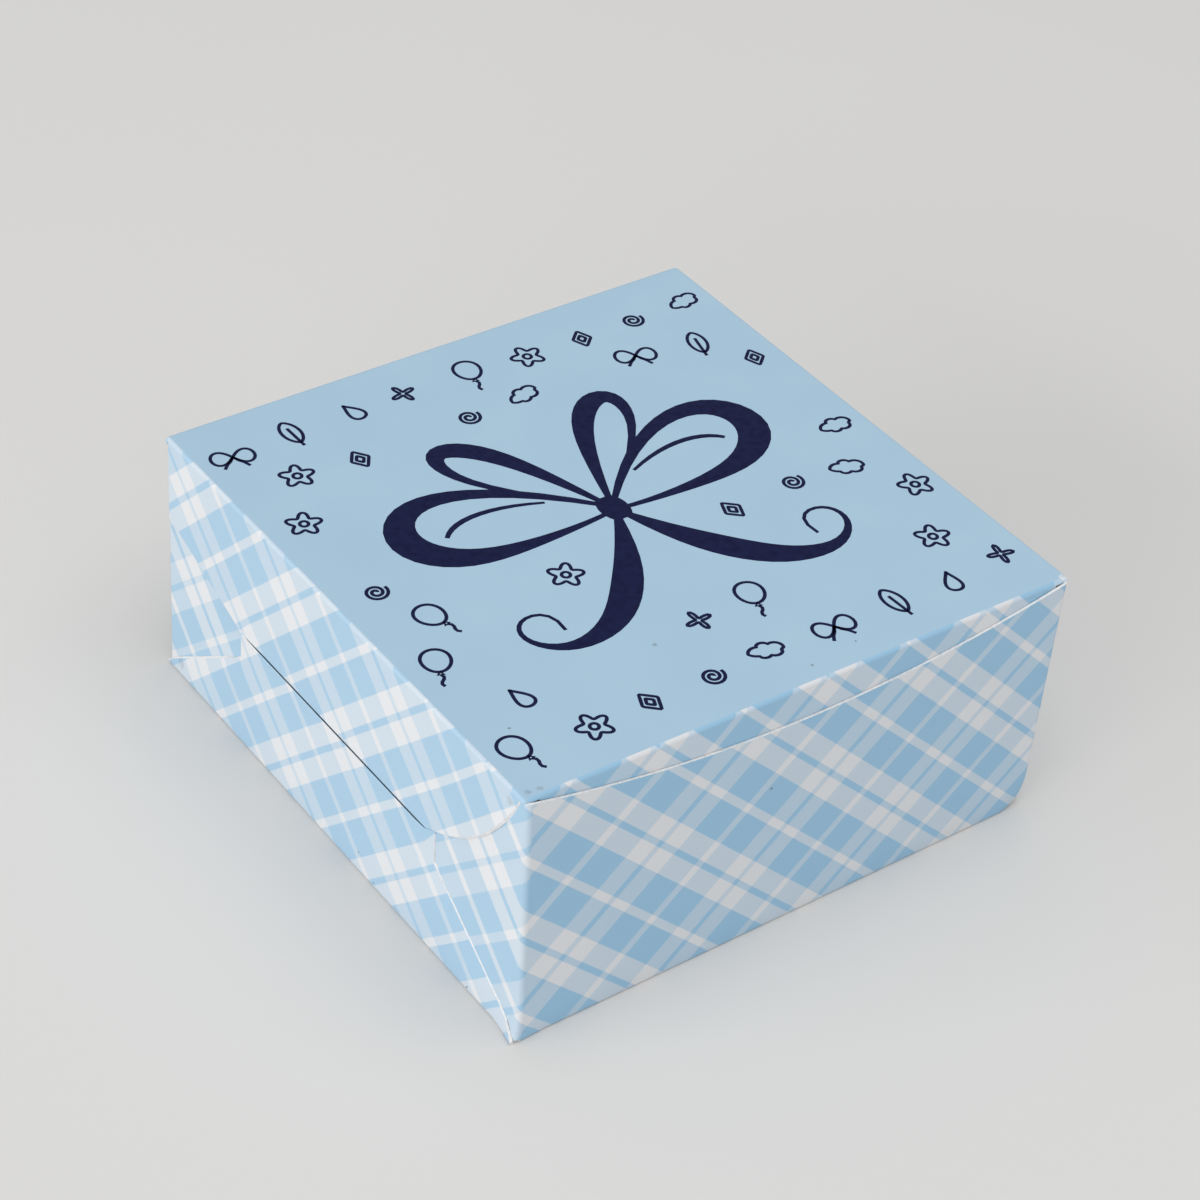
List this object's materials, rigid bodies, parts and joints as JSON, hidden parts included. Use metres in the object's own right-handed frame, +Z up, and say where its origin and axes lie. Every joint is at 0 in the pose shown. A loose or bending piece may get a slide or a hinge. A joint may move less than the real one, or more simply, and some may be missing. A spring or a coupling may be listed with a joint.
{
  "type": "mithai sweet box",
  "caption": "Square folding carton for sweets: hinged lid with side flaps and a front tuck flap, half-height side panels glued over corner wings, pale blue plaid print.",
  "frame": {"origin": "middle of the underside, on the table", "axes": "+Z up; the front wall with the hollow top edge faces -Y; the lid's crease is along X at the top of the back wall, at +Y"},
  "size_m": [0.106, 0.107, 0.0485],
  "materials": {
    "plaid_print": "white-lined board, printed in a slanting pale blue and white plaid, matt",
    "lid_print": "white-lined board, printed plain pale blue with small navy line motifs, matt",
    "plain_board": "unprinted white board",
    "glue": "dry film of white glue"
  },
  "bodies": {
    "carton": {"base_panel": "plain_board", "front_wall": "plaid_print", "back_wall": "plaid_print", "left_side_panel": "plaid_print", "right_side_panel": "plaid_print", "front_left_wing": "plaid_print", "front_right_wing": "plaid_print", "back_left_wing": "plaid_print", "back_right_wing": "plaid_print", "front_left_glue": "glue", "front_right_glue": "glue", "back_left_glue": "glue", "back_right_glue": "glue"},
    "lid": {"lid_panel": "lid_print"},
    "left_flap": {"left_lid_flap": "plaid_print"},
    "right_flap": {"right_lid_flap": "plaid_print"},
    "tuck": {"tuck_flap": "plaid_print"}
  },
  "joints": [
    {"name": "lid_hinge", "type": "hinge", "parent": "carton", "child": "lid", "pos_m": [0, 0.053, 0.048], "axis": [-1, 0, 0], "range_deg": [0, 180]},
    {"name": "left_flap_fold", "type": "hinge", "parent": "lid", "child": "left_flap", "pos_m": [-0.0525, 0, 0.048], "axis": [0, 1, 0], "range_deg": [0, 90]},
    {"name": "right_flap_fold", "type": "hinge", "parent": "lid", "child": "right_flap", "pos_m": [0.0525, 0, 0.048], "axis": [0, -1, 0], "range_deg": [0, 90]},
    {"name": "tuck_fold", "type": "hinge", "parent": "lid", "child": "tuck", "pos_m": [0, -0.05225, 0.048], "axis": [1, 0, 0], "range_deg": [0, 80]}
  ]
}
